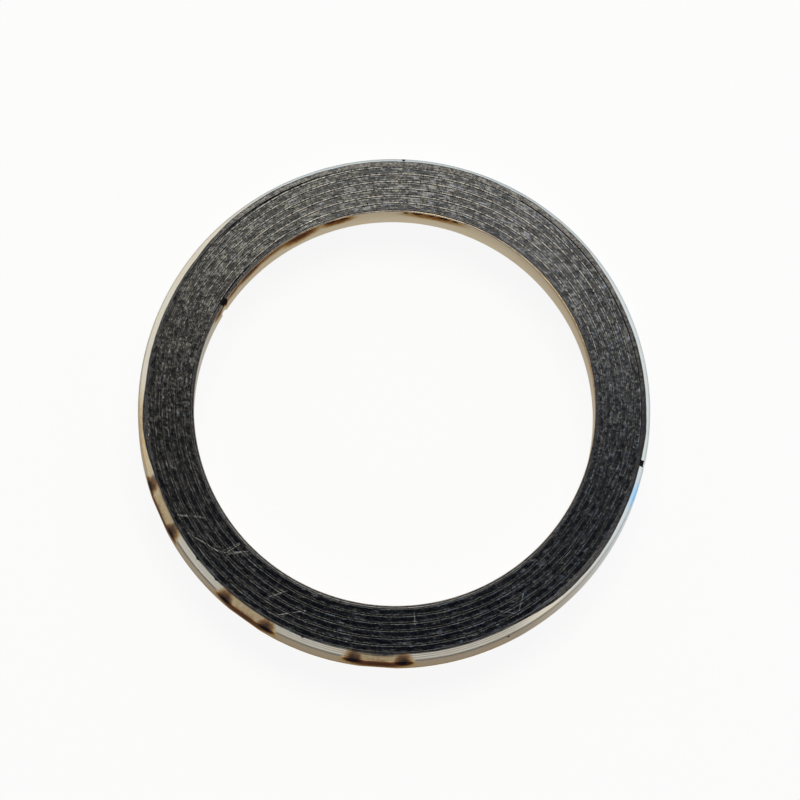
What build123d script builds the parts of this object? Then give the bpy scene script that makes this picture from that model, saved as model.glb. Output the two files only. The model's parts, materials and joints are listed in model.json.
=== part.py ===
from build123d import *
import os
from math import acos, cos, pi, radians, sin

# Spiral wound exhaust gasket, in millimetres.
# A steel strip and a graphite strip are wound together round the bore.
# The first and last turns of the steel are bare and tack welded.
# The ring lies flat: its axis is Z, and its lower face is at Z = 0.

# Strips
bore_radius = 24.0
ring_height = 6.0
strip_thickness = 0.22
filler_thickness = 0.67
filled_turns = 6
inner_plies = 2
outer_plies = 3

# Bulge of the bare turns on the outside, and how far from each face it is complete
bulge_height = 0.5
bulge_edge = 0.7

# The sector in which every turn climbs to the next one, and the chords of the spiral
climb_start = 207.0
climb_angle = 148.0
chord_angle = 5.0

# Where a turn meets the bare turns, the filler beside it ends bluntly at this thickness
thinnest_filler = 0.1

# The grooves where the steel strip begins in the bore and ends on the outside
inner_seam_angle = 149.0
outer_seam_angle = 348.2
seam_width = 0.9

# The flats that the tack welding electrodes have pressed on the outside
weld_flat_angles = (203.5, 234.2, 266.2)
weld_flat_depth = 0.13

# Worked out from the sizes above
pitch = strip_thickness + filler_thickness
inner_band_radius = bore_radius + inner_plies * strip_thickness
wall_radius = inner_band_radius - strip_thickness
outer_band_radius = wall_radius + filled_turns * pitch
face_radius = outer_band_radius + outer_plies * strip_thickness
widest_radius = face_radius + bulge_height


# A point at a distance and an angle from the axis
def polar(distance, angle):
    return (distance * cos(radians(angle)), distance * sin(radians(angle)))


# A ring turned round the axis from its half section
def turned(section):
    return revolve(Plane.XZ * make_face(Polyline(*section, close=True)), Axis.Z)


# Corners of a straight wall, from the upper face down
def straight(radius):
    return [(radius, ring_height), (radius, 0)]


# Corners of a bulged wall, given its radius on the faces, from the lower face up
def bulged(radius):
    return [
        (radius, 0),
        (radius + bulge_height, bulge_edge),
        (radius + bulge_height, ring_height - bulge_edge),
        (radius, ring_height),
    ]


# How far a turn has climbed towards the next one: a smooth rise from 0 to 1 in the climb's
# sector, and 1 in the rest of the turn, which runs round the axis
def climbed(angle):
    if angle >= climb_angle:
        return 1
    return (1 - cos(pi * angle / climb_angle)) / 2


# How far from the axis the wall's inner side lies after an angle of winding
def wall_distance(wound):
    turn = wound // 360
    return wall_radius + pitch * (turn + climbed(wound - 360 * turn))


# Points of a line that winds clockwise, seen from above, between two angles of winding.
# Short chords keep the wall's many turns light
def winding_line(start, stop, distance):
    chords = max(1, round(abs(stop - start) / chord_angle))
    line = []
    for step in range(chords + 1):
        wound = start + (stop - start) * step / chords
        line.append(polar(distance(wound), climb_start - wound))
    return line


# The steel wall that winds through the filler. It comes out of the inner bare turns and goes
# into the outer ones, and its ends are thickened to the filler's blunt ends
def spiral_wall():
    last = 360 * (filled_turns - 1) + climb_angle
    blunt = climb_angle / pi * acos(1 - 2 * (strip_thickness + thinnest_filler) / pitch)
    inside = strip_thickness / 2
    inner_side = winding_line(blunt, last, wall_distance)
    outer_end = winding_line(last, last - blunt, lambda wound: outer_band_radius + inside)
    outer_side = winding_line(last - blunt, 0, lambda wound: wall_distance(wound) + strip_thickness)
    inner_end = winding_line(0, blunt, lambda wound: inner_band_radius - inside)
    outline = Polyline(*inner_side, *outer_end, *outer_side, *inner_end, close=True)
    return extrude(make_face(outline), ring_height)


# The groove at the end of a ply, straight across and clockwise from the given angle
def seam(section, angle):
    profile = Plane.XZ * make_face(Polyline(*section, close=True))
    return Rot(0, 0, angle) * extrude(profile, seam_width)


# The bare turns in the bore, with the groove where the strip begins
def inner_bare_turns():
    band = turned([*straight(inner_band_radius), (bore_radius, 0), (bore_radius, ring_height)])
    clear = bore_radius - strip_thickness
    groove = [*straight(bore_radius + strip_thickness), (clear, 0), (clear, ring_height)]
    return band - seam(groove, inner_seam_angle)


# The bulged bare turns on the outside, with the groove where the strip ends
def outer_bare_turns():
    band = turned([*bulged(face_radius), *reversed(bulged(outer_band_radius))])
    clear = widest_radius + strip_thickness
    groove = [*bulged(face_radius - strip_thickness), (clear, ring_height), (clear, 0)]
    return band - seam(groove, outer_seam_angle)


# What a tack weld's flat takes off the bulge, across the ring's height
def weld_flat(angle):
    reach = 2 * weld_flat_depth
    across = 2 * (2 * widest_radius * weld_flat_depth) ** 0.5
    block = Box(reach, 2 * across, ring_height, align=(Align.MIN, Align.CENTER, Align.MIN))
    return Rot(0, 0, angle) * Pos(widest_radius - weld_flat_depth, 0, 0) * block


def metal_winding():
    winding = inner_bare_turns() + spiral_wall() + outer_bare_turns()
    for angle in weld_flat_angles:
        winding -= weld_flat(angle)
    return winding


def graphite_filler():
    filling = turned([*bulged(outer_band_radius), *straight(inner_band_radius)])
    return filling - spiral_wall()


os.makedirs("parts", exist_ok=True)
for name, part in (("metal_winding", metal_winding()), ("graphite_filler", graphite_filler())):
    print(name, "solids", len(part.solids()), "volume", round(part.volume, 2), "valid", part.is_valid)
    export_step(part, "parts/" + name + ".step")
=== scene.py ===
# Spiral wound exhaust gasket lying flat: a steel strip and a graphite strip in one winding
import json
import bpy
import numpy as np
from mathutils import Matrix, Vector


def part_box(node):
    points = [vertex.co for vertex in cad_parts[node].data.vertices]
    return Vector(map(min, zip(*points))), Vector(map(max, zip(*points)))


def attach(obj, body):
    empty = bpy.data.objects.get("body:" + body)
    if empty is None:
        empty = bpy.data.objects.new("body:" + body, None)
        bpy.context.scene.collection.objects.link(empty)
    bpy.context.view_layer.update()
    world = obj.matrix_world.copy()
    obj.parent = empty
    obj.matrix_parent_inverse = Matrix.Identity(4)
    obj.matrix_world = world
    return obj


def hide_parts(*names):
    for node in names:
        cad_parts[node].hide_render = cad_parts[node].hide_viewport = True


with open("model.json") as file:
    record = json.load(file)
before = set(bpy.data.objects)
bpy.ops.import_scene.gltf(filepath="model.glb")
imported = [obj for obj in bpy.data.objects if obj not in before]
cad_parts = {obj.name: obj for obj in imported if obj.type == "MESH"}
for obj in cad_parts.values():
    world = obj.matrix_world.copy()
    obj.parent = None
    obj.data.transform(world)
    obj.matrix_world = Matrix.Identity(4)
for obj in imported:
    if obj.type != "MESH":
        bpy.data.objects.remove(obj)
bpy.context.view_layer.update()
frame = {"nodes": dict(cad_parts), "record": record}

mm = 0.001
mounts = {mount["name"]: mount["dims"] for mount in frame["record"]["mounts"]}
print("frame loaded:", sorted(frame["nodes"]))

winding = {  # mm and degrees, angles counted from +X and seen from above
    "bore": mounts["bore"]["r_mm"],
    "widest": mounts["rim"]["r_mm"],
    "height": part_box("metal_winding")[1].z / mm,
    "strip": 0.22,
    "filler": 0.67,
    "filledTurns": 6,
    "innerPlies": 2,
    "outerPlies": 3,
    "climbStart": 207.0,
    "climbAngle": 148.0,
    "innerSeam": 149.0,
    "outerSeam": 348.2,
    "seamWidth": 0.9,
    "seamEdge": 0.08,  # how wide the sloping sides of the seams' grooves are
    "middle": 27.0,  # lengths along the winding are counted at this radius
    "hidden": 0.4,  # a piece's back, inside the ring, begins this far from the faces
    "hair": 0.003,  # rows over the plies stay this far inside the band's sides
}

height = winding["height"]
strip = winding["strip"]
hidden = winding["hidden"]
hair = winding["hair"]
boreRadius = winding["bore"]
widestRadius = winding["widest"]
pitch = strip + winding["filler"]
innerBand = boreRadius + winding["innerPlies"] * strip
wallRadius = innerBand - strip
outerBand = wallRadius + winding["filledTurns"] * pitch
faceRadius = outerBand + winding["outerPlies"] * strip
lastAngle = 360 * (winding["filledTurns"] - 1) + winding["climbAngle"]


# Shapes: rows of points, each row a closed section in mm

def rise(value, start, end):
    # straight from 0 at start to 1 at end, and level beyond them
    return np.clip((value - start) / (end - start), 0, 1)


def offFrom(angle, middle):
    # degrees from middle, between -180 and 180
    return (angle - middle + 180) % 360 - 180


def lumps(along, across, seed):
    # smooth noise from -1 to 1: random heights on whole numbers, and between them a blend by
    # 3t² - 2t³
    table = np.random.default_rng(seed).uniform(-1, 1, (1024, 64))
    columns, lines = table.shape
    column, line = np.floor(along).astype(int), np.floor(across).astype(int)
    u, v = along - column, across - line
    u, v = u * u * (3 - 2 * u), v * v * (3 - 2 * v)
    here, ahead = column % columns, (column + 1) % columns
    low, high = line % lines, (line + 1) % lines
    lower = table[here, low] * (1 - u) + table[ahead, low] * u
    upper = table[here, high] * (1 - u) + table[ahead, high] * u
    return lower * (1 - v) + upper * v


def ringLumps(angle, cells, across, seed):
    # the same noise round the ring: over the last tenth it fades into the noise before its start,
    # so that it closes
    share = angle % 360 / 360
    fade = rise(share, 0.9, 1)
    before = lumps((share - 1) * cells, across, seed)
    return lumps(share * cells, across, seed) * (1 - fade) + before * fade


def layered(angle, across, layers):
    # sum of noises round the ring, each given by its cells round the ring, its cells per mm, its
    # seed and its share
    return sum(share * ringLumps(angle, cells, across * fine, seed)
               for cells, fine, seed, share in layers)


def stripLumps(along, layer):
    # noise along a strip, given by its length in mm, the noise's line and its seed
    length, line, seed = layer
    return lumps(along / length, np.full((1, 1), line), seed)


def wallAt(wound):
    # the strip's inner side: one pitch further out each turn, risen by (1 - cos) / 2 in the climb
    turn, angle = np.divmod(wound, 360.0)
    share = rise(angle, 0, winding["climbAngle"])
    return wallRadius + pitch * (turn + (1 - np.cos(np.pi * share)) / 2)


def ovalMark(angle, up, radius, spots):
    # the most of depth * exp(-d³), with d the distance from a spot in its half widths
    mark = np.zeros(np.broadcast(angle, up).shape)
    for spot in spots:
        along = offFrom(angle, spot["angle"]) * np.radians(radius) / spot["long"]
        across = (up - spot["up"]) / spot["tall"]
        mark = np.maximum(mark, spot.get("depth", 1) * np.exp(-np.hypot(along, across) ** 3))
    return mark


def spotsAt(angles, spot):
    # the same spot at each angle
    return [{**spot, "angle": angle} for angle in angles]


def grooveAt(angle, seam, radius):
    # 1 in the groove that runs clockwise from the seam, and down to 0 over its sloping sides
    past = (seam - angle) * np.radians(radius)
    return rise(np.minimum(past, winding["seamWidth"] - past), 0, winding["seamEdge"])


def gridPiece(name, angle, radius, up, marks, closed):
    # point = (radius cos angle, radius sin angle, up); neighbours join in quads, sections close,
    # and the last section meets the first one or both ends get a cap
    turned = np.radians(angle)
    places = np.broadcast_arrays(radius * np.cos(turned), radius * np.sin(turned), up)
    points = np.stack(places, -1) * mm
    rows, across = points.shape[:2]
    index = np.arange(rows * across).reshape(rows, across)
    ahead = np.roll(index, -1, 0)
    kept = slice(None) if closed else slice(0, -1)
    quads = np.stack([index, np.roll(index, -1, 1), np.roll(ahead, -1, 1), ahead], -1)
    quads = quads[kept].reshape(-1, 4)
    corners = quads.ravel()
    starts = np.arange(len(quads)) * 4
    if not closed:
        starts = np.concatenate([starts, [len(corners), len(corners) + across]])
        corners = np.concatenate([corners, index[0][::-1], index[-1]])
    mesh = bpy.data.meshes.new(name)
    mesh.vertices.add(rows * across)
    mesh.vertices.foreach_set("co", points.ravel())
    mesh.loops.add(len(corners))
    mesh.loops.foreach_set("vertex_index", corners)
    mesh.polygons.add(len(starts))
    mesh.polygons.foreach_set("loop_start", starts)
    mesh.polygons.foreach_set("use_smooth", np.ones(len(starts), bool))
    for mark, values in marks.items():
        everywhere = np.broadcast_to(values, (rows, across)).ravel().astype(np.float32)
        mesh.attributes.new(mark, "FLOAT", "POINT").data.foreach_set("value", everywhere)
    mesh.update(calc_edges=True)
    piece = bpy.data.objects.new(name, mesh)
    bpy.context.scene.collection.objects.link(piece)
    return piece


def plyDrop(radius, start, edge):
    # each ply's rolled edge is a low pillow: edge * |x|⁴, with x from -1 to 1 across the ply
    return edge * np.abs(2 * ((radius - start) / strip % 1) - 1) ** 4


def place(piece, node, material):
    # nothing moves, so every piece rides on the root
    piece.data.materials.append(material)
    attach(piece, "root")
    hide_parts(node)
    print(piece.name, "has", len(piece.data.polygons), "faces")


# Bare turns in the bore

boreTurns = {
    "steps": 1440,
    "wallRows": 26,
    "topRows": 14,
    "plyEdge": 0.05,
    "wallGap": 0.01,  # the wall's rows stay this far inside the rolled edges
    "hollow": 0.07,  # the wall is this much hollow at half height
    "wobble": 0.012,
    "wobbles": [(40, 0.4, 3, 1.0), (130, 1.0, 4, 0.5)],
    "weldDepth": 0.05,
    "grooveDeep": 0.9,  # the seam's groove, as a share of the strip
    "grooveSunk": 0.1,  # how far the seam lies under the face
    "welds": [  # small burnt marks just under the upper edge
        {"angle": 72.3, "long": 0.45, "up": 5.25, "tall": 0.5},
        {"angle": 75.7, "long": 0.85, "up": 5.35, "tall": 0.5},
        {"angle": 79.2, "long": 0.5, "up": 5.45, "tall": 0.3},
        {"angle": 83.2, "long": 0.8, "up": 5.35, "tall": 0.45},
        {"angle": 86.6, "long": 0.35, "up": 5.35, "tall": 0.4},
        {"angle": 104.7, "long": 0.6, "up": 5.3, "tall": 0.45},
        {"angle": 108.4, "long": 0.9, "up": 5.35, "tall": 0.5},
    ],
    "seamDark": {"angle": 147.8, "long": 0.7, "up": 4.6, "tall": 2.4},
    "tints": [
        {"angle": 78.5, "long": 4.0, "up": 4.9, "tall": 1.9, "depth": 0.42},
        {"angle": 106.5, "long": 2.2, "up": 4.8, "tall": 2.0, "depth": 0.5},
        {"angle": 118.0, "long": 2.6, "up": 5.2, "tall": 3.2, "depth": 0.6},
        {"angle": 132.0, "long": 9.0, "up": 6.0, "tall": 2.6, "depth": 0.46},
        {"angle": 136.0, "long": 2.6, "up": 5.6, "tall": 2.6, "depth": 0.66},
        {"angle": 143.0, "long": 1.8, "up": 5.6, "tall": 2.4, "depth": 0.52},
        {"angle": 150.5, "long": 1.2, "up": 4.8, "tall": 2.4, "depth": 0.6},
        {"angle": 12.0, "long": 14.0, "up": 5.5, "tall": 2.0, "depth": 0.14},
        {"angle": 2.0, "long": 21.0, "up": 6.1, "tall": 0.7, "depth": 0.6},
    ],
    "topTint": 0.45,  # the tints' share on the plies' edges
    "smear": 0.9,
    "bareEdge": 0.02,  # the bore's edge is free of graphite to this width
    "bareFade": 0.04,
    "bareWider": {"angle": 64.0, "long": 24.0, "up": 6.0, "tall": 2.0, "depth": 0.1},
    "dull": 0.4,  # how dull the wall is at its upper edge
    "dullUp": (1.5, 6.0),  # and between which heights it gets so
    "topDull": 1.2,
    "straw": 0.85,
    "lessStraw": 0.7,  # what the grey stretch lacks of it
    "grey": {"angle": 162.0, "long": 4.0, "up": 3.0, "tall": 9.0},
}


def makeBoreTurns():
    # section: up the wall, at radius = bore + hollow * sin(pi * up / height), out over the plies,
    # down the back and in below; wobble and welds go into the wall and never into the bore
    size = boreTurns
    angle = np.arange(size["steps"])[:, None] * 360 / size["steps"]
    lowest = size["plyEdge"] + size["wallGap"]
    wall = np.linspace(lowest, height - lowest, size["wallRows"])
    over = np.linspace(boreRadius + hair, innerBand - hair, size["topRows"])
    drop = plyDrop(over, boreRadius, size["plyEdge"])
    up = np.concatenate([wall, height - drop, [height - hidden, hidden], drop[::-1]])
    hollow = boreRadius + size["hollow"] * np.sin(np.pi * wall / height)
    radius = np.concatenate([hollow, over, [innerBand, innerBand], over[::-1]])
    isWall = (np.arange(len(up)) < len(wall))[None, :]
    isBore = (radius < boreRadius + strip)[None, :]
    pressed = ovalMark(angle, up, boreRadius, size["welds"])
    wobble = size["wobble"] * layered(angle, up, size["wobbles"])
    groove = grooveAt(angle, winding["innerSeam"], boreRadius) * isBore
    radius = radius + isWall * (wobble + size["weldDepth"] * pressed)
    radius = np.maximum(radius + groove * strip * size["grooveDeep"], boreRadius)
    lift = np.where(up > height / 2, -1, 1) * groove * size["grooveSunk"] * ~isWall
    seamDark = ovalMark(angle, up, boreRadius, [size["seamDark"]])
    burntAndShade = np.maximum(ovalMark(angle, up, boreRadius, size["tints"]), seamDark)
    bareEdge = size["bareEdge"] + ovalMark(angle, up, boreRadius, [size["bareWider"]])
    covered = ~isWall * rise(radius - boreRadius - bareEdge, 0, size["bareFade"])
    grey = ovalMark(angle, up, boreRadius, [size["grey"]])
    marks = {
        "burn": np.maximum(burntAndShade, pressed) * np.where(isWall, 1, size["topTint"]),
        "char": np.maximum(pressed, seamDark),
        "smear": covered * size["smear"],
        "dull": np.where(isWall, rise(up, *size["dullUp"]) * size["dull"], size["topDull"]),
        "straw": size["straw"] - size["lessStraw"] * grey,
    }
    return gridPiece("steelBoreTurns", angle, radius, up + lift, marks, closed=True)


# Bulged bare turns on the outside

rimTurns = {
    "steps": 1440,
    "topRows": 30,
    "lowerEvery": 3,  # the lower face has only every third of the upper one's rows
    "fineDown": (0.65, 0.85, 7),  # the side's uppermost rows: first and last depth, and how many
    "coarseDown": (0.95, 1.1, 1.3, 1.5, 1.75, 2.0, 2.3, 2.6, 3.0),
    "lowestRow": 0.75,
    "plyEdge": 0.025,
    "shoulder": 0.12,  # how wide the rounding between face and slope is
    "slopeEnd": 30.51,  # radius and height at which the slope ends in the crease
    "slopeUp": 5.37,
    "bareMiddle": 248.0,  # the graphite leaves the ply edges bare round this angle
    "bareFade": (50.0, 64.0),  # it comes back over them between these angles from there
    "bareFrom": 0.16,
    "litFade": (90.0, 120.0),  # beyond these angles from there, on the side towards the lamp; there the ply edges' soot is rubbed lighter, which is painted light
    "tip": 0.1,  # the ply edges fall by this much towards the outside
    "worn": 0.07,  # and their inner edge is worn down by this much
    "wornWide": 0.1,
    "pale": [(158.0, 16.0, 0.34), (341.0, 5.0, 0.14), (15.0, 12.0, 0.12)],  # wider slopes
    "paleFade": 12.0,
    "crown": 0.07,  # how much further in the side lies at its upper edge
    "crownDown": (2.2, 0.6),
    "creaseUp": 5.3,
    "crease": 0.05,
    "creaseTall": 0.06,
    "wobble": 0.012,
    "wobbles": [(36, 0.5, 5, 1.0), (150, 1.0, 6, 0.4)],
    "grooveSunk": 0.25,
    "welds": (197.8, 209.3, 228.6, 239.7, 260.7, 271.8),
    "weldDepth": 0.07,
    "weldSpot": {"up": 4.35, "long": 0.62, "tall": 0.75},
    "flats": (203.5, 234.2, 266.2),  # pressed flat between the welds of each pair
    "flatDepth": 0.09,
    "flatReach": 9.0,  # degrees
    "weldTint": {"up": 4.2, "long": 1.25, "tall": 1.7},
    "flatTint": {"up": 3.2, "long": 4.3, "tall": 2.3, "depth": 0.62},
    "slopeTint": {"up": 5.6, "long": 4.6, "tall": 0.9, "depth": 0.2},
    "tanned": {"angle": 187.0, "long": 7.5, "up": 5.5, "tall": 1.2, "depth": 0.18},
    "lowShade": 0.3,  # painted shade: a tan over the side's lower part, round the same angles as its darker stretch
    "lowShadeUp": (2.2, 0.8),
    "lowShadeAway": (54.0, 44.0),
    "specks": [  # small chars: on the top of the outline, and at 296 degrees
        {"angle": 87.8, "long": 0.2, "up": 5.4, "tall": 0.4},
        {"angle": 296.2, "long": 0.2, "up": 4.9, "tall": 0.4},
    ],
    "grooveChar": 0.8,
    "grooveCharUp": 4.6,
    "edge": 0.04,  # the graphite ends this far past the shoulder's start
    "edgeWaves": [(260, 0.5, 8, 0.03), (70, 1.5, 9, 0.05)],
    "edgeFade": 0.1,
    "nicks": (217.9, 224.3, 248.3),  # where graphite is wiped a little over the shoulder
    "nick": 0.2,
    "nickHalf": 0.45,
    "smears": [
        {"angle": 266.0, "long": 4.6, "up": 5.95, "tall": 0.42, "depth": 0.64},
        {"angle": 208.4, "long": 0.5, "up": 5.7, "tall": 0.5, "depth": 0.55},
        {"angle": 196.5, "long": 0.7, "up": 5.8, "tall": 0.4, "depth": 0.6},
    ],
    "rubbed": 0.8,
    "shinyFade": (50.0, 95.0),  # the side turns from dull to shiny between these angles, and its painted shade fades out there
    "shadeFade": 0.2,
    "creaseShade": 0.16,  # half height of the painted shade line in the crease
    # painted shade over the slope's end: how dark it is, and its half width
    "slopeShade": 0.3,
    "slopeShadeWide": 0.07,
    "strawMiddle": 221.5,  # the side is straw coloured round this angle
    "strawEnd": 108.5,
    "strawFade": 30.0,
    "strawLimits": (0.05, 0.75),
    # painted reflection: a blue glint on the side round 340 degrees
    "blued": {"angle": 339.9, "long": 1.7, "up": 4.9, "tall": 1.4, "depth": 0.95},
}


def makeRimTurns():
    # section: over the plies and the slope, down the bulged side, in below and up the hidden back;
    # drop over the slope = (s + sqrt(s² + w²)) / 2, with s the drop of the sharp slope and w the
    # shoulder's width; the side's upper stretch leans in by crown * t², with t from 0 to 1 there
    size = rimTurns
    angle = np.arange(size["steps"])[:, None] * 360 / size["steps"]
    away = np.abs(offFrom(angle, size["bareMiddle"]))
    bareEnd = outerBand + size["bareFrom"]
    begin = bareEnd + (faceRadius - bareEnd) * rise(away, *size["bareFade"])
    for middle, half, wider in size["pale"]:
        off = np.abs(offFrom(angle, middle))
        begin = np.minimum(begin, faceRadius - wider * rise(off, half + size["paleFade"], half))
    over = np.linspace(outerBand + hair, size["slopeEnd"], size["topRows"])[None, :]
    sharp = (over - begin) * (height - size["slopeUp"]) / (size["slopeEnd"] - begin)
    slope = (sharp + np.sqrt(sharp ** 2 + size["shoulder"] ** 2)) / 2
    lit = rise(away, *size["litFade"])
    tipped = np.minimum((over - outerBand) / (faceRadius - outerBand),
                        (size["slopeEnd"] - over) / (size["slopeEnd"] - faceRadius))
    worn = np.exp((outerBand - over) / size["wornWide"])
    pillows = plyDrop(over, outerBand, size["plyEdge"]) * (over < faceRadius)
    drop = slope + lit * (size["tip"] * tipped + size["worn"] * worn) + pillows
    coarse = np.array(size["coarseDown"])
    depth = np.concatenate([np.linspace(*size["fineDown"]), coarse, height - coarse[-2::-1],
                            [height - size["lowestRow"]]])
    side = widestRadius - size["crown"] * rise(depth, *size["crownDown"]) ** 2
    crease = np.exp(-((depth - height + size["creaseUp"]) / size["creaseTall"]) ** 2)
    side = side - size["crease"] * crease
    rows = np.ones_like(angle)
    every = size["lowerEvery"]
    up = np.hstack([height - drop, rows * (height - depth), drop[:, ::every][:, ::-1],
                    rows * hidden, rows * (height - hidden)])
    radius = np.concatenate([over[0], side, over[0, ::every][::-1], [outerBand, outerBand]])
    order = np.arange(len(radius))[None, :]
    isTop = order < over.size
    isSide = (order >= over.size) & (order < over.size + len(depth))
    isOuter = (radius > faceRadius - strip)[None, :]
    pressed = ovalMark(angle, up, widestRadius, spotsAt(size["welds"], size["weldSpot"]))
    wobble = size["wobble"] * (layered(angle, up, size["wobbles"]) - 1)
    radius = radius + isSide * (wobble - size["weldDepth"] * pressed)
    for flat in size["flats"]:
        off = offFrom(angle, flat)
        reach = size["flatReach"]
        turned = np.radians(np.clip(off, -reach, reach))
        plane = (widestRadius - size["flatDepth"]) / np.cos(turned)
        radius = np.where(isSide & (np.abs(off) < reach), np.minimum(radius, plane), radius)
    groove = grooveAt(angle, winding["outerSeam"], widestRadius) * isOuter
    radius = radius - isSide * groove * strip
    lift = np.where(up > height / 2, -1, 1) * groove * size["grooveSunk"] * ~isSide
    # burnt round each weld, across the side between the welds of a pair, and pale on the slope;
    # painted shade as a tan low on the side
    tints = (spotsAt(size["welds"], size["weldTint"]) + spotsAt(size["flats"], size["flatTint"])
             + spotsAt(size["flats"], size["slopeTint"]) + [size["tanned"]])
    lowShade = size["lowShade"] * rise(up, *size["lowShadeUp"]) * rise(away, *size["lowShadeAway"])
    burntAndShade = np.maximum(ovalMark(angle, up, widestRadius, tints), lowShade * isSide)
    specks = ovalMark(angle, up, widestRadius, size["specks"])
    grooveChar = groove * (up > size["grooveCharUp"]) * size["grooveChar"]
    # graphite covers the ply edges, but only the innermost one where they are bare
    edge = begin + size["edge"] + layered(angle, 1, size["edgeWaves"])
    for nick in size["nicks"]:
        edge = edge + size["nick"] * np.exp(-((angle - nick) / size["nickHalf"]) ** 2)
    covered = np.clip((edge - radius) / size["edgeFade"] + 0.5, 0, 1) * isTop
    shiny = rise(away, *size["shinyFade"])
    # painted shade: a dark line along the crease and across the slope's end
    creaseShade = isSide * np.exp(-((up - size["creaseUp"]) / size["creaseShade"]) ** 2)
    slopeShade = np.exp(-((radius - size["slopeEnd"]) / size["slopeShadeWide"]) ** 2)
    # painted shade: the side below the crease is darker, away from the shiny angles
    dull = rise(up, size["creaseUp"], size["creaseUp"] - size["shadeFade"]) * isSide
    straw = (size["strawEnd"] - np.abs(offFrom(angle, size["strawMiddle"]))) / size["strawFade"]
    marks = {
        "burn": burntAndShade,
        "char": np.maximum.reduce([pressed, specks, grooveChar]),
        "smear": np.maximum(ovalMark(angle, up, widestRadius, size["smears"]), covered),
        # painted light: rubbed lighter soot on the side towards the lamp
        "rubbed": lit * size["rubbed"],
        "crease": (1 - shiny) * np.maximum(creaseShade, isTop * size["slopeShade"] * slopeShade),
        "dull": dull * (1 - shiny),
        "shiny": shiny,
        "straw": np.clip(straw, *size["strawLimits"]),
        "blued": ovalMark(angle, up, widestRadius, [size["blued"]]),
    }
    return gridPiece("steelRimTurns", angle, radius, up + lift, marks, closed=True)


# The strip's turns through the filler

filledTurns = {
    "step": 0.4,
    "across": 0.98,  # the top's rows end this far out, as a share of the strip's half width
    "topRows": 8,
    "lowerRows": 6,
    "edge": 0.008,
    "tip": 0.045,  # how much lower the strip's outer edge lies than its inner one
    "sunk": 0.01,
    "ragged": 0.016,
    "raggedLayers": [(1.3, 7, 11), (0.35, 9, 12)],
    "wander": 0.02,
    "wanderLayer": (2.5, 3, 13),
}


def makeFilledTurns():
    # section: up the inner side, height - edge * x⁴ - tip * (1 + x) / 2 over the top, down the
    # outer side and the same below, with x from -1 to 1 across the strip; the strip wanders, and
    # its edges are ragged
    size = filledTurns
    wound = np.linspace(lastAngle, 0, int(lastAngle / size["step"]))[:, None]
    x = np.linspace(-size["across"], size["across"], size["topRows"])
    lower = np.linspace(size["across"], -size["across"], size["lowerRows"])
    across = np.concatenate([[-1, -1], x, [1, 1], lower])
    top = height - size["edge"] * x ** 4 - size["tip"] * (1 + x) / 2
    bottom = size["edge"] * lower ** 4 + size["tip"] * (1 + lower) / 2
    up = np.concatenate([[hidden, height - hidden], top, [height - hidden, hidden], bottom])
    moves = ((np.arange(len(up)) < len(x) + 3) | (up < hidden))[None, :]
    arc = wound * np.radians(winding["middle"])
    ragged = sum(0.5 + 0.5 * stripLumps(arc, layer) for layer in size["raggedLayers"])
    dip = np.where(up > height / 2, -1, 1) * (size["sunk"] + size["ragged"] * ragged)
    wander = size["wander"] * stripLumps(arc, size["wanderLayer"])
    radius = wallAt(wound) + strip / 2 * (1 + across) + wander
    marks = {"smear": np.ones((1, 1)), "rubbed": np.ones((1, 1))}
    angle = winding["climbStart"] - wound
    return gridPiece("steelFilledTurns", angle, radius, up + dip * moves, marks, closed=False)


# The graphite between the turns

filler = {
    "step": 0.5,
    "from": 60,  # degrees of winding at which it begins
    "past": 340,  # and how far past the strip's last climb it ends
    "topRows": 13,
    "lowerRows": 7,
    "thinnest": 0.02,
    "tuck": 0.004,  # its sides reach this far into the strip
    "least": 0.004,
    "flush": 0.045,  # how far it stays under the faces beside the turn that it leans on
    "slope": 0.09,  # and how much lower it lies at the next turn
    "slopeVaries": 0.35,
    "slopeLayer": (0.9, 5.0, 24),
    "lumpy": 0.009,
    "lumpyLayers": [(1.1, 2.2, 21), (0.45, 4, 22)],  # mm along, lumps across, seed
    "grainy": 0.005,
    "grainyLayer": (0.25, 6, 23),
    "crestTall": 0.016,
}


def makeFiller():
    # section: out over the top, falling by flush + slope * share towards the next turn, then in
    # below, with share from 0 to 1 across and three sizes of lumps
    size = filler
    whole = lastAngle + size["past"]
    wound = np.linspace(whole, size["from"], int(whole / size["step"]))[:, None]
    inner = np.where(wound < 360, innerBand, wallAt(wound - 360) + strip)
    outer = np.where(wound > lastAngle, outerBand, wallAt(np.minimum(wound, lastAngle)))
    inner, outer = np.clip(inner, innerBand, outerBand), np.clip(outer, innerBand, outerBand)
    outer = np.maximum(outer, inner + size["thinnest"])
    x = np.linspace(0, 1, size["topRows"])
    share = np.concatenate([x, np.linspace(1, 0, size["lowerRows"])])
    isTop = (np.arange(len(share)) < len(x))[None, :]
    arc = wound * np.radians(winding["middle"])
    varies = 1 + size["slopeVaries"] * stripLumps(arc, size["slopeLayer"])
    wave = size["lumpy"] * sum(lumps(arc / along, share * across, seed)
                               for along, across, seed in size["lumpyLayers"])
    along, across, seed = size["grainyLayer"]
    grain = size["grainy"] * lumps(arc / along, share * across, seed)
    fall = size["flush"] + size["slope"] * share * varies + wave + grain
    fall = np.maximum(fall, size["least"])
    up = np.where(isTop, height - fall, fall)
    tuck = size["tuck"]
    radius = inner - tuck + (outer - inner + 2 * tuck) * share
    crest = np.clip(0.5 - (wave + grain) / size["crestTall"], 0, 1)
    marks = {"crest": crest, "share": share[None, :]}
    angle = winding["climbStart"] - wound
    return gridPiece("graphiteTurns", angle, radius, up, marks, closed=False)


# Shader sums: a Wire is a node's output that takes part in arithmetic

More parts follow.
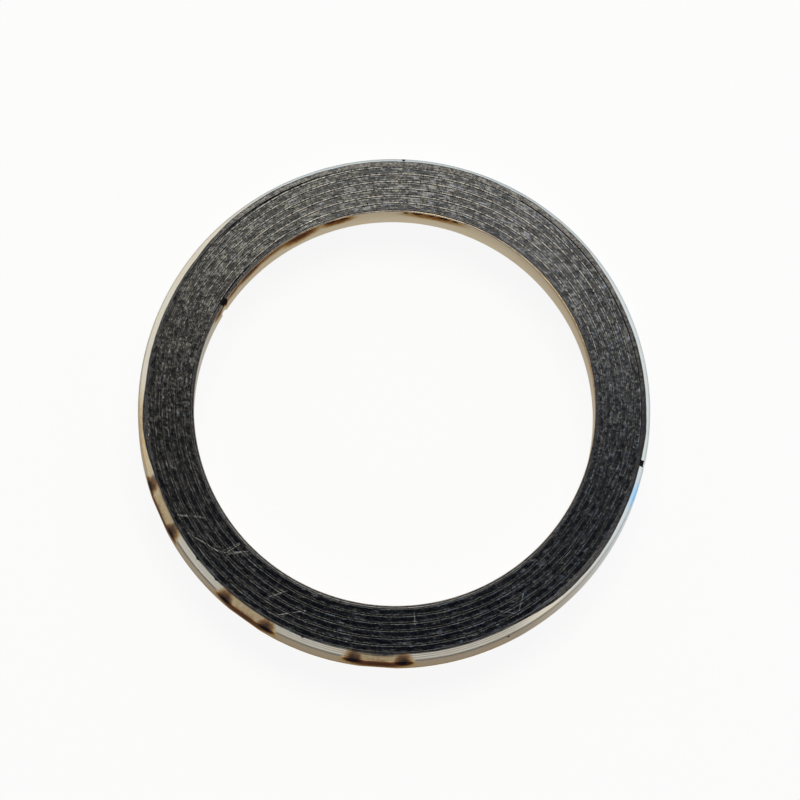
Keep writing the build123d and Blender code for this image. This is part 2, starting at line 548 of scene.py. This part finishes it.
class Wire:
    def __init__(self, nodes, socket):
        self.nodes = nodes
        self.socket = socket

    def math(self, operation, other, clamp=False):
        settings = {"operation": operation, "use_clamp": clamp}
        return self.nodes.add("Math", settings, {0: self, 1: other})

    def after(self, operation, first):
        return self.nodes.add("Math", {"operation": operation}, {0: first, 1: self})

    def __add__(self, other):
        return self.math("ADD", other)

    def __sub__(self, other):
        return self.math("SUBTRACT", other)

    def __mul__(self, other):
        return self.math("MULTIPLY", other)

    def __radd__(self, other):
        return self.after("ADD", other)

    def __rsub__(self, other):
        return self.after("SUBTRACT", other)

    def __rmul__(self, other):
        return self.after("MULTIPLY", other)

    def most(self, other):
        return self.math("MAXIMUM", other)

    def within(self):  # held between 0 and 1
        return self.math("ADD", 0.0, clamp=True)

    def between(self, low, high):  # 0 at low, 1 at high, smooth
        smooth = {"interpolation_type": "SMOOTHSTEP"}
        return self.nodes.add("MapRange", smooth, {0: self, 1: low, 2: high})


class Nodes:
    def __init__(self, owner):
        owner.use_nodes = True
        self.owner = owner
        self.tree = owner.node_tree
        self.tree.nodes.clear()

    def add(self, kind, settings=None, inputs=None, output=0):
        # any node: its settings, its sockets' values or links, and the output that is wanted
        node = self.tree.nodes.new("ShaderNode" + kind)
        for key, value in (settings or {}).items():
            if key == "stops":
                ramp = node.color_ramp.elements
                while len(ramp) < len(value):
                    ramp.new(0.5)
                for element, (position, colour) in zip(ramp, value):
                    element.position = position
                    element.color = (*colour, 1)
            else:
                setattr(node, key, value)
        for key, value in (inputs or {}).items():
            if isinstance(value, Wire):
                self.tree.links.new(value.socket, node.inputs[key])
            else:
                node.inputs[key].default_value = value
        return Wire(self, node.outputs[output]) if node.outputs else None

    def vector(self, operation, first, second=None, output="Vector", **named):
        inputs = {0: first, **({} if second is None else {1: second}), **named}
        return self.add("VectorMath", {"operation": operation}, inputs, output)

    def mix(self, share, first, second):
        return self.add("Mix", {"data_type": "RGBA"}, {0: share, 6: first, 7: second}, 2)

    def blend(self, share, first, second):
        return self.add("MixShader", {}, {0: share, 1: first, 2: second})

    def ramp(self, value, stops):
        return self.add("ValToRGB", {"stops": stops}, {0: value}, "Color")


class Finish(Nodes):
    def __init__(self, name):
        super().__init__(bpy.data.materials.new(name))
        spot = self.add("TexCoord", output="Object")
        self.spot = self.vector("SCALE", spot, Scale=1 / mm)  # in mm
        self.flat = self.vector("MULTIPLY", self.spot, (1, 1, 0))
        self.radius = self.vector("LENGTH", self.flat, output="Value")
        self.way = self.vector("NORMALIZE", self.flat)
        self.up = self.add("SeparateXYZ", {}, {0: self.spot}, "Z")

    def mark(self, name):
        return self.add("Attribute", {"attribute_name": name}, {}, "Fac")

    def noise(self, where, scale, detail=3.0, rough=0.55):
        sizes = {"Vector": where, "Scale": scale, "Detail": detail, "Roughness": rough}
        return self.add("TexNoise", {}, sizes, "Fac")

    def streaks(self, stretch, fine, detail, rough):
        # noise at (way * stretch, (radius + up) * fine) runs in streaks round the ring
        slow = self.vector("SCALE", self.way, Scale=stretch)
        quick = self.add("CombineXYZ", {}, {2: (self.radius + self.up) * fine})
        return self.noise(self.vector("ADD", slow, quick), 1.0, detail, rough)

    def scratches(self, lines):
        # the scratch from a to b is where the distance |p - a - (b - a) t| is small, with
        # t = (p - a)·(b - a) / |b - a|², held between 0 and 1
        width = scratchLook["width"]
        waver = self.noise(self.spot, scratchLook["waverScale"]) - 0.5
        waver = waver * width * scratchLook["waver"]
        gaps = self.noise(self.spot, *scratchLook["gapNoise"]).between(*scratchLook["gaps"])
        marks = None
        for startRadius, startAngle, stopRadius, stopAngle, strength in lines:
            start = pointOn(startRadius, startAngle)
            run = pointOn(stopRadius, stopAngle) - start
            fromStart = self.vector("SUBTRACT", self.flat, start)
            share = self.vector("DOT_PRODUCT", fromStart, run / run.length_squared, "Value")
            nearest = self.vector("SCALE", run, Scale=share.within())
            off = self.vector("DISTANCE", fromStart, nearest, "Value") + waver
            mark = (1 - off.between(width * scratchLook["core"], width)) * strength * gaps
            marks = mark if marks is None else marks.most(mark)
        return marks

    def bump(self, height, distance):
        sizes = {"Height": height, "Distance": distance, "Strength": 1.0}
        return self.add("Bump", {}, sizes, "Normal")

    def principled(self, inputs):
        return self.add("BsdfPrincipled", {}, inputs, "BSDF")

    def show(self, shader):
        self.add("OutputMaterial", {}, {"Surface": shader})
        return self.owner


def pointOn(radius, angle):
    # (radius cos angle, radius sin angle, 0) in mm
    return Vector((radius * np.cos(np.radians(angle)), radius * np.sin(np.radians(angle)), 0))


scratchLook = {
    "width": 0.055,  # mm
    "core": 0.3,  # share of the width at full strength
    "waver": 3.0,  # widths
    "waverScale": 1.8,
    "gapNoise": (2.6, 3.0, 0.7),  # scale, detail, roughness
    "gaps": (0.28, 0.44),
}

brightLines = [  # radius and angle of both ends, strength
    (28.15, 104.4, 29.74, 107.4, 0.5),
    (24.23, 111.0, 25.08, 114.3, 0.6),
    (29.03, 206.7, 26.69, 209.7, 0.8),
    (28.86, 207.1, 26.55, 210.3, 0.5),
    (29.00, 211.7, 27.35, 219.6, 1.0),
    (24.81, 221.9, 26.61, 221.2, 0.8),
    (24.61, 225.0, 26.68, 221.8, 0.8),
    (27.33, 220.0, 24.71, 221.6, 0.6),
    (27.10, 220.5, 24.64, 225.0, 0.6),
    (27.31, 237.0, 25.66, 239.9, 0.6),
    (28.79, 240.8, 26.79, 246.6, 0.8),
    (27.35, 296.4, 28.97, 300.4, 0.6),
    (28.97, 300.4, 27.22, 304.2, 0.6),
    (24.84, 275.2, 26.41, 275.2, 0.5),
    (29.56, 186.3, 29.68, 186.8, 1.0),
]

darkLines = [
    (27.17, 45.4, 29.89, 41.0, 0.9),
    (29.47, 169.1, 29.6, 170.3, 1.0),
]

steelLook = {
    "streaks": (7.0, 3.2, 5.0, 0.6),  # stretch, fineness, detail, roughness
    "fineStreaks": (16.0, 16.0, 4.0, 0.6),
    "sootStreaks": (14.0, 4.0, 5.0, 0.7),
    "spotStreaks": (60.0, 3.0, 3.0, 0.6),
    "bumpStreaks": (50.0, 3.0, 3.0, 0.55),
    "cloud": (0.35, 3.0, 0.55),  # scale, detail, roughness
    "broken": (2.2, 4.0, 0.65),
    "spots": (3.0, 4.0, 0.6),
    "rolled": 0.012 * mm,  # how high the bumps of the metal and of the soot are
    "sooted": 0.03 * mm,
    "fineRise": 0.6,  # shares of three noises in the metal's bumps
    "streakRise": 0.8,
    "brokenRise": 0.25,
    "strawStreaks": 0.7,  # how streaks and clouds vary the straw colour, round this middle
    "strawClouds": 0.6,
    "strawMiddle": 0.65,
    "strawVaries": 0.8,
    "dullShadeStreaks": 0.8,
    "dullShadeLeast": 0.3,
    "creaseShadeShare": 0.85,
    "streakRough": 0.25,
    "burntRougher": 0.12,
    "heatVaries": 0.45,
    "heatVariesFrom": (0.02, 0.3),  # pairs: a mask is 0 at the first and 1 at the second value
    "heatFrom": (0.04, 0.2),
    "rubbedSpots": (0.36, 0.56),
    "rubbedStreaks": (0.52, 0.75),
    "streakShare": 0.8,
    "pitSpots": (0.38, 0.5),
    "pitShare": 0.6,
    "metalShown": 2.5,  # rubbed soot is all metal from 1 / this on
    "rubbedSmoother": 0.02,
    "charVaries": 0.4,
    "charFrom": (0.3, 0.6),
    "smearVaries": 0.5,
    "smearFrom": (0.3, 0.7),
    "bright": (0.68, 0.73, 0.74, 1),
    "tan": (0.76, 0.67, 0.50, 1),
    # a dull tan, which on the rim's side is painted shade
    "dull": (0.30, 0.24, 0.18, 1),
    # painted shade of the crease, nearly black
    "creaseShadeColour": (0.03, 0.022, 0.026, 1),
    # painted reflection, light blue
    "blued": (0.36, 0.68, 1.0, 1),
    "edgeTint": (0.50, 0.44, 0.36, 1),
    "shinyEdge": (0.86, 0.89, 0.9, 1),
    "roughness": 0.18,
    "burn": [(0.0, (0.72, 0.64, 0.48)), (0.2, (0.62, 0.48, 0.28)), (0.42, (0.29, 0.16, 0.075)),
             (0.65, (0.09, 0.056, 0.04)), (1.0, (0.025, 0.02, 0.025))],
    "burntEdge": (0.22, 0.165, 0.12, 1),
    "soot": (0.006, 0.008, 0.014, 1),
    "worn": (0.106, 0.104, 0.097, 1),
    "sootShine": (1, 0.99, 0.94, 1),
    "sootRoughness": 0.29,
    "scratch": (0.4, 0.4, 0.38, 1),
    "char": (0.014, 0.011, 0.014, 1),
}


def makeSteel():
    look, tones = Finish("stripSteel"), steelLook
    streaks = look.streaks(*tones["streaks"])
    fine = look.streaks(*tones["fineStreaks"])
    cloud = look.noise(look.spot, *tones["cloud"])
    broken = look.noise(look.spot, *tones["broken"])
    rolled = fine * tones["fineRise"] + streaks * tones["streakRise"] + broken * tones["brokenRise"]
    bumps = look.bump(rolled, tones["rolled"])
    # bare metal: bright or straw coloured, duller and darker in its marks, and darker on the rim's
    # side as painted shade
    varied = streaks * tones["strawStreaks"] + cloud * tones["strawClouds"] - tones["strawMiddle"]
    straw = (look.mark("straw") + varied * tones["strawVaries"]).within()
    dull = (look.mark("dull") * (streaks * tones["dullShadeStreaks"] + tones["dullShadeLeast"])).within()
    base = look.mix(straw, tones["bright"], tones["tan"])
    base = look.mix(dull, base, tones["dull"])
    # painted shade along the rim's crease
    base = look.mix(look.mark("crease") * tones["creaseShadeShare"], base, tones["creaseShadeColour"])
    # painted blue reflection on the rim's side
    base = look.mix(look.mark("blued"), base, tones["blued"])
    rough = (streaks * tones["streakRough"] + tones["roughness"]).within()
    metal = {"Base Color": base, "Metallic": 1.0, "Roughness": rough, "Normal": bumps}
    aged = look.principled({**metal, "Specular Tint": tones["edgeTint"]})
    shiny = look.principled({**metal, "Specular Tint": tones["shinyEdge"]})
    clean = look.blend(look.mark("shiny"), aged, shiny)
    # heat tint, from straw to nearly black, which also paints shade low on the rim's side
    heatAndShade = look.mark("burn")
    varies = (broken - 0.5) * tones["heatVaries"] * heatAndShade.between(*tones["heatVariesFrom"])
    heatAndShade = (heatAndShade + varies).within()
    burntAndShade = look.principled({
        **metal,
        "Base Color": look.ramp(heatAndShade, tones["burn"]),
        "Roughness": rough + tones["burntRougher"],
        "Specular Tint": tones["burntEdge"],
    })
    # soot and graphite on the edges of the strip, rubbed off in places; on the rim the rubbing is
    # painted light on the side towards the lamp
    sootStreaks = look.streaks(*tones["sootStreaks"])
    marks = look.scratches(brightLines) * look.mark("smear")
    spots = look.streaks(*tones["spotStreaks"]) + look.noise(look.spot, *tones["spots"])
    spots = spots * 0.5
    rubbed = look.mark("rubbed") * spots.between(*tones["rubbedSpots"])
    rubbed = rubbed.most(sootStreaks.between(*tones["rubbedStreaks"]) * tones["streakShare"])
    rubbed = rubbed.most(marks)
    pits = (1 - spots.between(*tones["pitSpots"])) * tones["pitShare"] * (1 - marks)
    pits = pits.most(look.scratches(darkLines))
    sooty = look.mix(rubbed, tones["soot"], tones["worn"])
    soot = look.principled({
        "Base Color": look.mix(marks, sooty, tones["scratch"]),
        "Metallic": (rubbed * tones["metalShown"]).within(),
        "Roughness": tones["sootRoughness"] - rubbed * tones["rubbedSmoother"],
        "Normal": look.bump(sootStreaks + look.streaks(*tones["bumpStreaks"]), tones["sooted"]),
        "Specular IOR Level": 1.0,
        "Specular Tint": tones["sootShine"],
    })
    scale = look.add("BsdfDiffuse", {}, {"Color": tones["char"]})
    char = look.mark("char") + (broken - 0.5) * tones["charVaries"]
    smear = look.mark("smear") + (sootStreaks - 0.5) * tones["smearVaries"]
    shader = look.blend(heatAndShade.between(*tones["heatFrom"]), clean, burntAndShade)
    sooted = look.blend(pits, soot, scale)
    shader = look.blend(smear.between(*tones["smearFrom"]), shader, sooted)
    return look.show(look.blend(char.between(*tones["charFrom"]), shader, scale))


fillerLook = {
    "streaks": (12.0, 4.0, 5.0, 0.65),  # stretch, fineness, detail, roughness
    "mottle": (40.0, 3.4, 3.0, 0.6),
    "patch": (22.0, 1.6, 2.0, 0.5),
    "grain": (3.0, 4.0, 0.6),  # scale, detail, roughness
    "hue": (1.9, 4.0, 0.7),
    "coolSideCast": 0.09,  # painted light: how much more of the cool hue the +X side has
    "warmFrom": (0.4, 0.6),  # pairs: a mask is 0 at the first and 1 at the second value
    "middleShadeFrom": (-0.05, 0.38),  # painted shade in the middle between turns, in shares of the way to the next turn
    "middleShadeTo": (0.6, 0.95),
    "fleckTone": (0.51, 0.61),
    "pitTone": (0.4, 0.51),
    "fineTone": 0.36,  # what each noise or mark adds to the tone
    "patchTone": 0.28,
    "crestTone": 0.05,
    "middleShadeTone": 0.1,
    "addedTone": 0.01,
    "pitShare": 0.7,
    "flecksSmoother": 0.04,
    "grainRise": 1.2,  # shares of three noises in the bumps
    "streakRise": 0.3,
    "mottleRise": 2.0,
    "dark": (0.0012, 0.002, 0.005, 1),
    "cool": (0.045, 0.08, 0.15, 1),
    "warm": (0.115, 0.128, 0.135, 1),
    "pit": (0.0015, 0.0025, 0.006, 1),
    "scratch": (0.4, 0.4, 0.38, 1),
    "coolShine": (0.87, 0.93, 1.0, 1),
    "warmShine": (1.0, 0.98, 0.86, 1),
    "roughness": 0.3,
    "pressed": 0.028 * mm,  # how high its bumps are
}


def makeGraphite():
    look, tones = Finish("pressedGraphite"), fillerLook
    streaks = look.streaks(*tones["streaks"])
    mottle = look.streaks(*tones["mottle"])
    patch = look.streaks(*tones["patch"])
    grain = look.noise(look.spot, *tones["grain"])
    # the hue varies at random, and its cool cast on the +X side is painted light, in colour and in
    # shine
    side = look.add("SeparateXYZ", {}, {0: look.way}, "X")
    hue = look.noise(look.spot, *tones["hue"]) - side * tones["coolSideCast"]
    hue = hue.between(*tones["warmFrom"])
    share, crest = look.mark("share"), look.mark("crest")
    scratched = look.scratches(brightLines)
    # tone: light flecks on the crests and by the strip, dark pits at random, and more of them in
    # the middle between turns as painted shade
    hollow = share.between(*tones["middleShadeFrom"]) * (1 - share.between(*tones["middleShadeTo"]))
    tone = (mottle + grain) * tones["fineTone"] + patch * tones["patchTone"]
    tone = tone + (crest - 0.5) * tones["crestTone"]
    tone = tone - hollow * tones["middleShadeTone"] + tones["addedTone"]
    flecks = tone.between(*tones["fleckTone"])
    pits = (1 - tone.between(*tones["pitTone"])) * tones["pitShare"] * (1 - scratched)
    pits = pits.most(look.scratches(darkLines))
    colour = look.mix(hue, tones["cool"], tones["warm"])
    colour = look.mix(flecks, tones["dark"], colour)
    colour = look.mix(scratched, colour, tones["scratch"])
    pressed = grain * tones["grainRise"] + streaks * tones["streakRise"]
    pressed = pressed + mottle * tones["mottleRise"]
    shine = {
        "Base Color": colour,
        "Roughness": (tones["roughness"] - flecks * tones["flecksSmoother"]).within(),
        "Normal": look.bump(pressed, tones["pressed"]),
        "Specular IOR Level": 1.0,
    }
    coolShine = look.principled({**shine, "Specular Tint": tones["coolShine"]})
    warmShine = look.principled({**shine, "Specular Tint": tones["warmShine"]})
    pit = look.add("BsdfDiffuse", {}, {"Color": tones["pit"]})
    return look.show(look.blend(pits, look.blend(hue, coolShine, warmShine), pit))


steel = makeSteel()
graphite = makeGraphite()
print("materials made:", steel.name, graphite.name)
place(makeBoreTurns(), "metal_winding", steel)
place(makeFilledTurns(), "metal_winding", steel)
place(makeRimTurns(), "metal_winding", steel)
place(makeFiller(), "graphite_filler", graphite)


# Floor, light and camera

photoView = {
    "tilt": 11.0,  # degrees from straight above
    "turn": 83.0,  # direction in which the camera looks away from itself, from +X
    "distance": 0.957,
    "lens": 360.0,
    "sensor": 36.0,
    "imageSize": 800,
    "centreX": 394.6,  # pixel of the upper face's centre
    "centreY": 407.8,
    "clipEnd": 20.0,
}

studio = {
    "floorHalf": 1.5,
    "floorLow": -0.02 * mm,
    "floorColour": (0.86, 0.86, 0.86, 1),
    "whiteShare": 0.9,  # how much of the floor that is seen is plain white
    "sky": [(0.0, (1.0, 1.0, 1.0)), (0.4, (0.88, 0.9, 0.94)), (0.56, (0.04, 0.05, 0.075)),
            (1.0, (0.015, 0.02, 0.035))],  # from the horizon to straight above
    "keyPower": 8.8,
    "keyColour": (1.0, 0.95, 0.87),
    "keyWide": 0.95,
    "keyTall": 0.5,
    "keyDistance": 1.0,
    "keyTilt": 34.0,  # degrees from straight above, towards the top of the picture
}


def makeFloor():
    # a matt square that is plain white to the camera, also in reflections
    half, low = studio["floorHalf"], studio["floorLow"]
    corners = [(-half, -half, low), (half, -half, low), (half, half, low), (-half, half, low)]
    mesh = bpy.data.meshes.new("studioFloor")
    mesh.from_pydata(corners, [], [(0, 1, 2, 3)])
    floor = bpy.data.objects.new("studioFloor", mesh)
    bpy.context.scene.collection.objects.link(floor)
    look = Nodes(bpy.data.materials.new("studioFloor"))
    matt = look.add("BsdfDiffuse", {}, {"Color": studio["floorColour"]})
    white = look.add("Emission", {}, {"Color": (1, 1, 1, 1), "Strength": 1.0})
    seen = look.add("LightPath", output="Is Camera Ray")
    for ray in ("Is Glossy Ray", "Is Transmission Ray"):
        seen = seen.most(look.add("LightPath", output=ray))
    surface = look.blend(seen * studio["whiteShare"], matt, white)
    look.add("OutputMaterial", {}, {"Surface": surface})
    mesh.materials.append(look.owner)


def makeWorld():
    # the sky's colour depends only on how high it is looked at, which is the direction's Z
    sky = Nodes(bpy.data.worlds.new("studio"))
    up = sky.add("SeparateXYZ", {}, {0: sky.add("TexCoord", output="Generated")}, "Z")
    light = sky.add("Background", {}, {"Color": sky.ramp(up, studio["sky"])})
    sky.add("OutputWorld", {}, {"Surface": light})
    bpy.context.scene.world = sky.owner


def makeCamera():
    # it looks down at the tilt; the picture's up and right are turned back, so that the direction
    # in which it looks away keeps its angle in the picture
    tilt, turn = np.radians(photoView["tilt"]), np.radians(photoView["turn"])
    away = Vector((np.cos(turn), np.sin(turn), 0))
    side = Vector((-np.sin(turn), np.cos(turn), 0))
    above = Vector((0, 0, 1))
    back = above * np.cos(tilt) - away * np.sin(tilt)
    ahead = away * np.cos(tilt) + above * np.sin(tilt)
    right = ahead * np.cos(turn) - side * np.sin(turn)
    top = ahead * np.sin(turn) + side * np.cos(turn)
    data = bpy.data.cameras.new("photoCamera")
    data.lens = photoView["lens"]
    data.sensor_width = photoView["sensor"]
    data.shift_x = 0.5 - photoView["centreX"] / photoView["imageSize"]
    data.shift_y = photoView["centreY"] / photoView["imageSize"] - 0.5
    data.clip_end = photoView["clipEnd"]
    camera = bpy.data.objects.new("photoCamera", data)
    target = Vector((0, 0, height * mm))
    turned = Matrix((right, top, back)).transposed().to_4x4()
    camera.matrix_world = Matrix.Translation(target + back * photoView["distance"]) @ turned
    bpy.context.scene.collection.objects.link(camera)
    bpy.context.scene.camera = camera


def makeKeyLamp():
    # at distance * (sin tilt cos turn, sin tilt sin turn, cos tilt), facing the middle
    tilt, turn = np.radians(studio["keyTilt"]), np.radians(photoView["turn"])
    data = bpy.data.lights.new("keyLamp", "AREA")
    data.shape = "RECTANGLE"
    data.size, data.size_y = studio["keyWide"], studio["keyTall"]
    data.energy = studio["keyPower"]
    data.color = studio["keyColour"]
    lamp = bpy.data.objects.new("keyLamp", data)
    way = Vector((np.sin(tilt) * np.cos(turn), np.sin(tilt) * np.sin(turn), np.cos(tilt)))
    lamp.location = way * studio["keyDistance"]
    lamp.rotation_euler = way.to_track_quat("Z", "Y").to_euler()
    bpy.context.scene.collection.objects.link(lamp)


makeFloor()
makeWorld()
makeCamera()
makeKeyLamp()
bpy.context.scene.view_settings.view_transform = "Standard"
print("floor, light and camera set")
